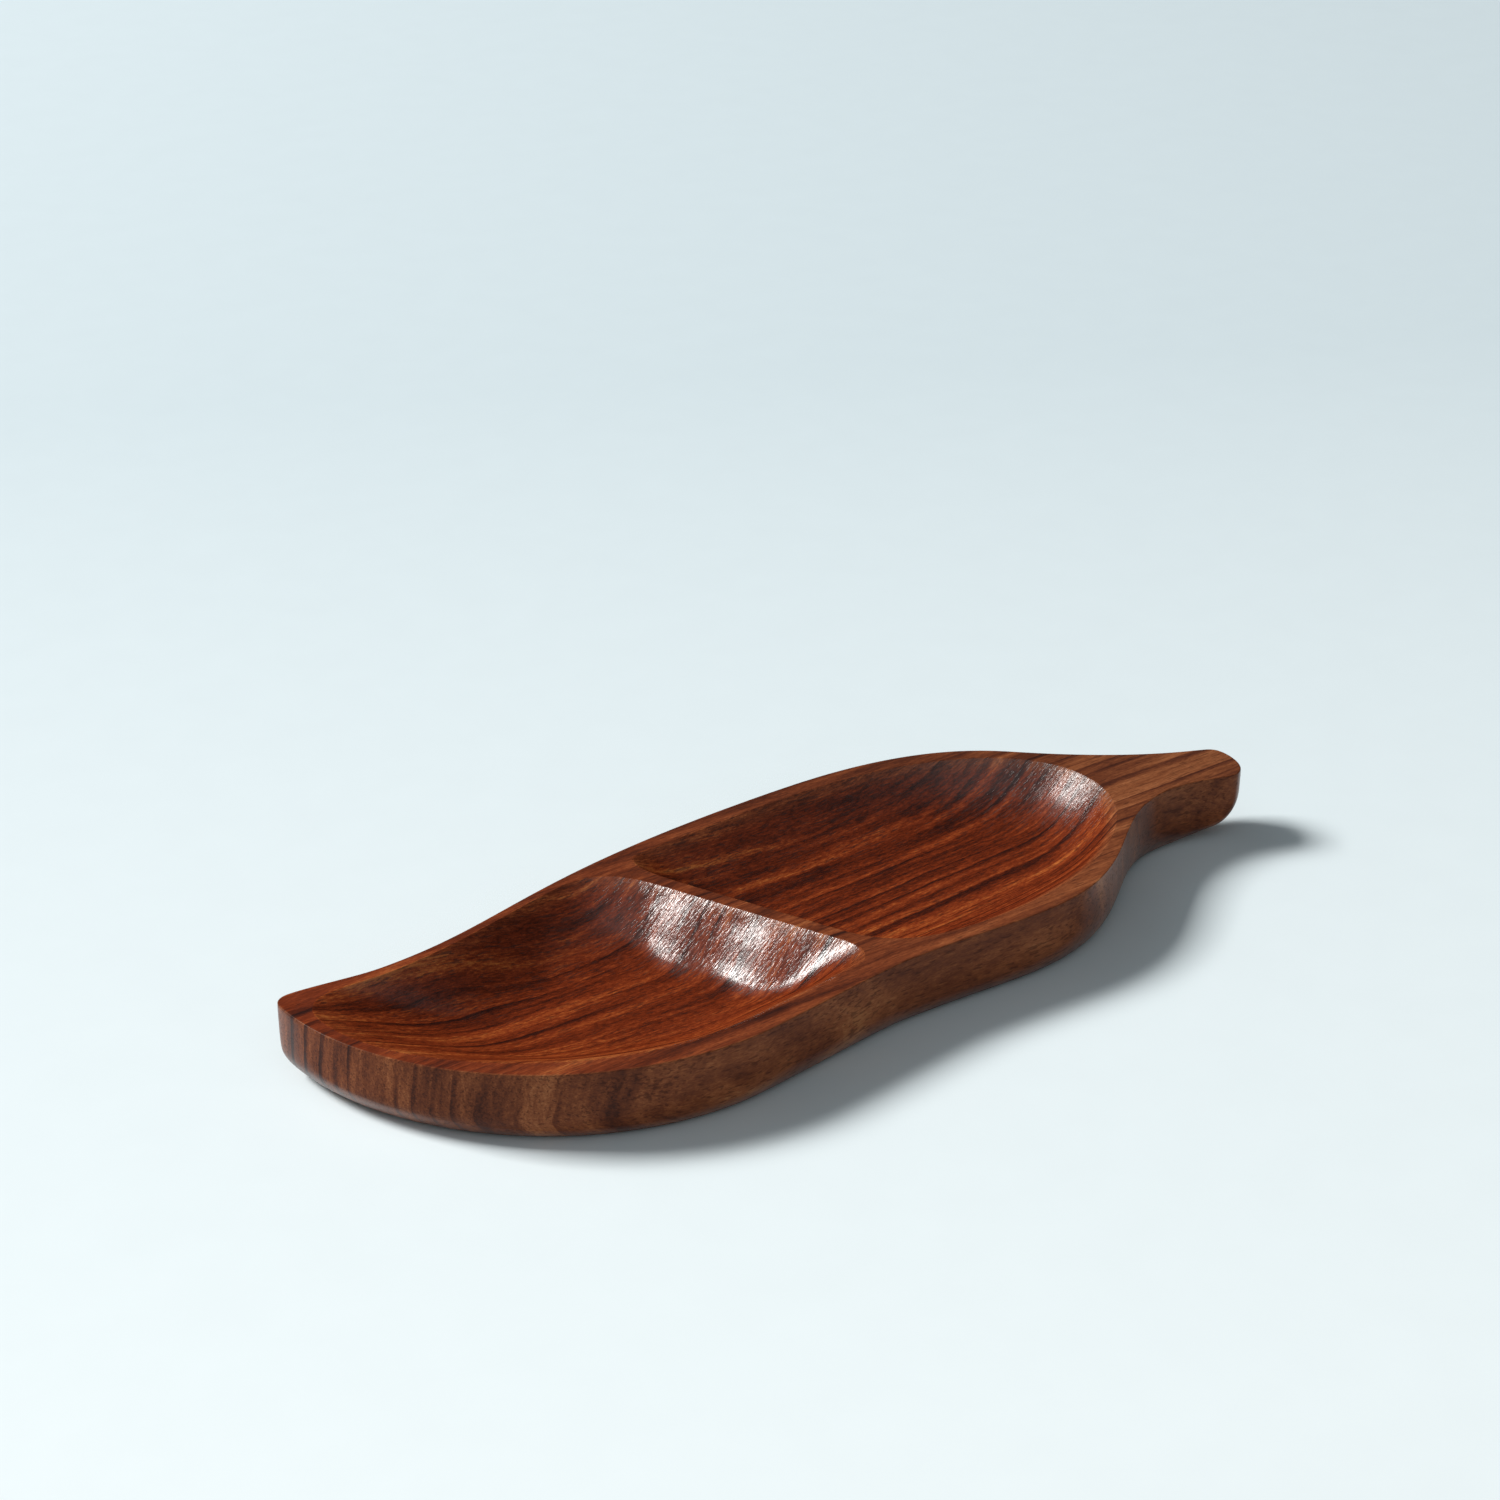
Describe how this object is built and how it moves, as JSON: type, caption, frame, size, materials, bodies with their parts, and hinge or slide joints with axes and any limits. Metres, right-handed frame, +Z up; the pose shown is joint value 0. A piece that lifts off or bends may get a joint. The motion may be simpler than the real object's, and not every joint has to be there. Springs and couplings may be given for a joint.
{
  "type": "dried fruit tray",
  "caption": "Leaf-shaped wooden serving tray with dished hollows parted by a slanting ridge, a flat rim all round and a short tapering handle.",
  "frame": {"origin": "on the table, under the middle of the tray's length and width", "axes": "+X along the leaf from its tip to its handle, +Y towards the edge that curls over at the tip, +Z up"},
  "size_m": [0.33, 0.115, 0.025],
  "materials": {
    "wood": "oiled, satin"
  },
  "bodies": {
    "root": {"leaf_tray": "wood"}
  },
  "joints": []
}
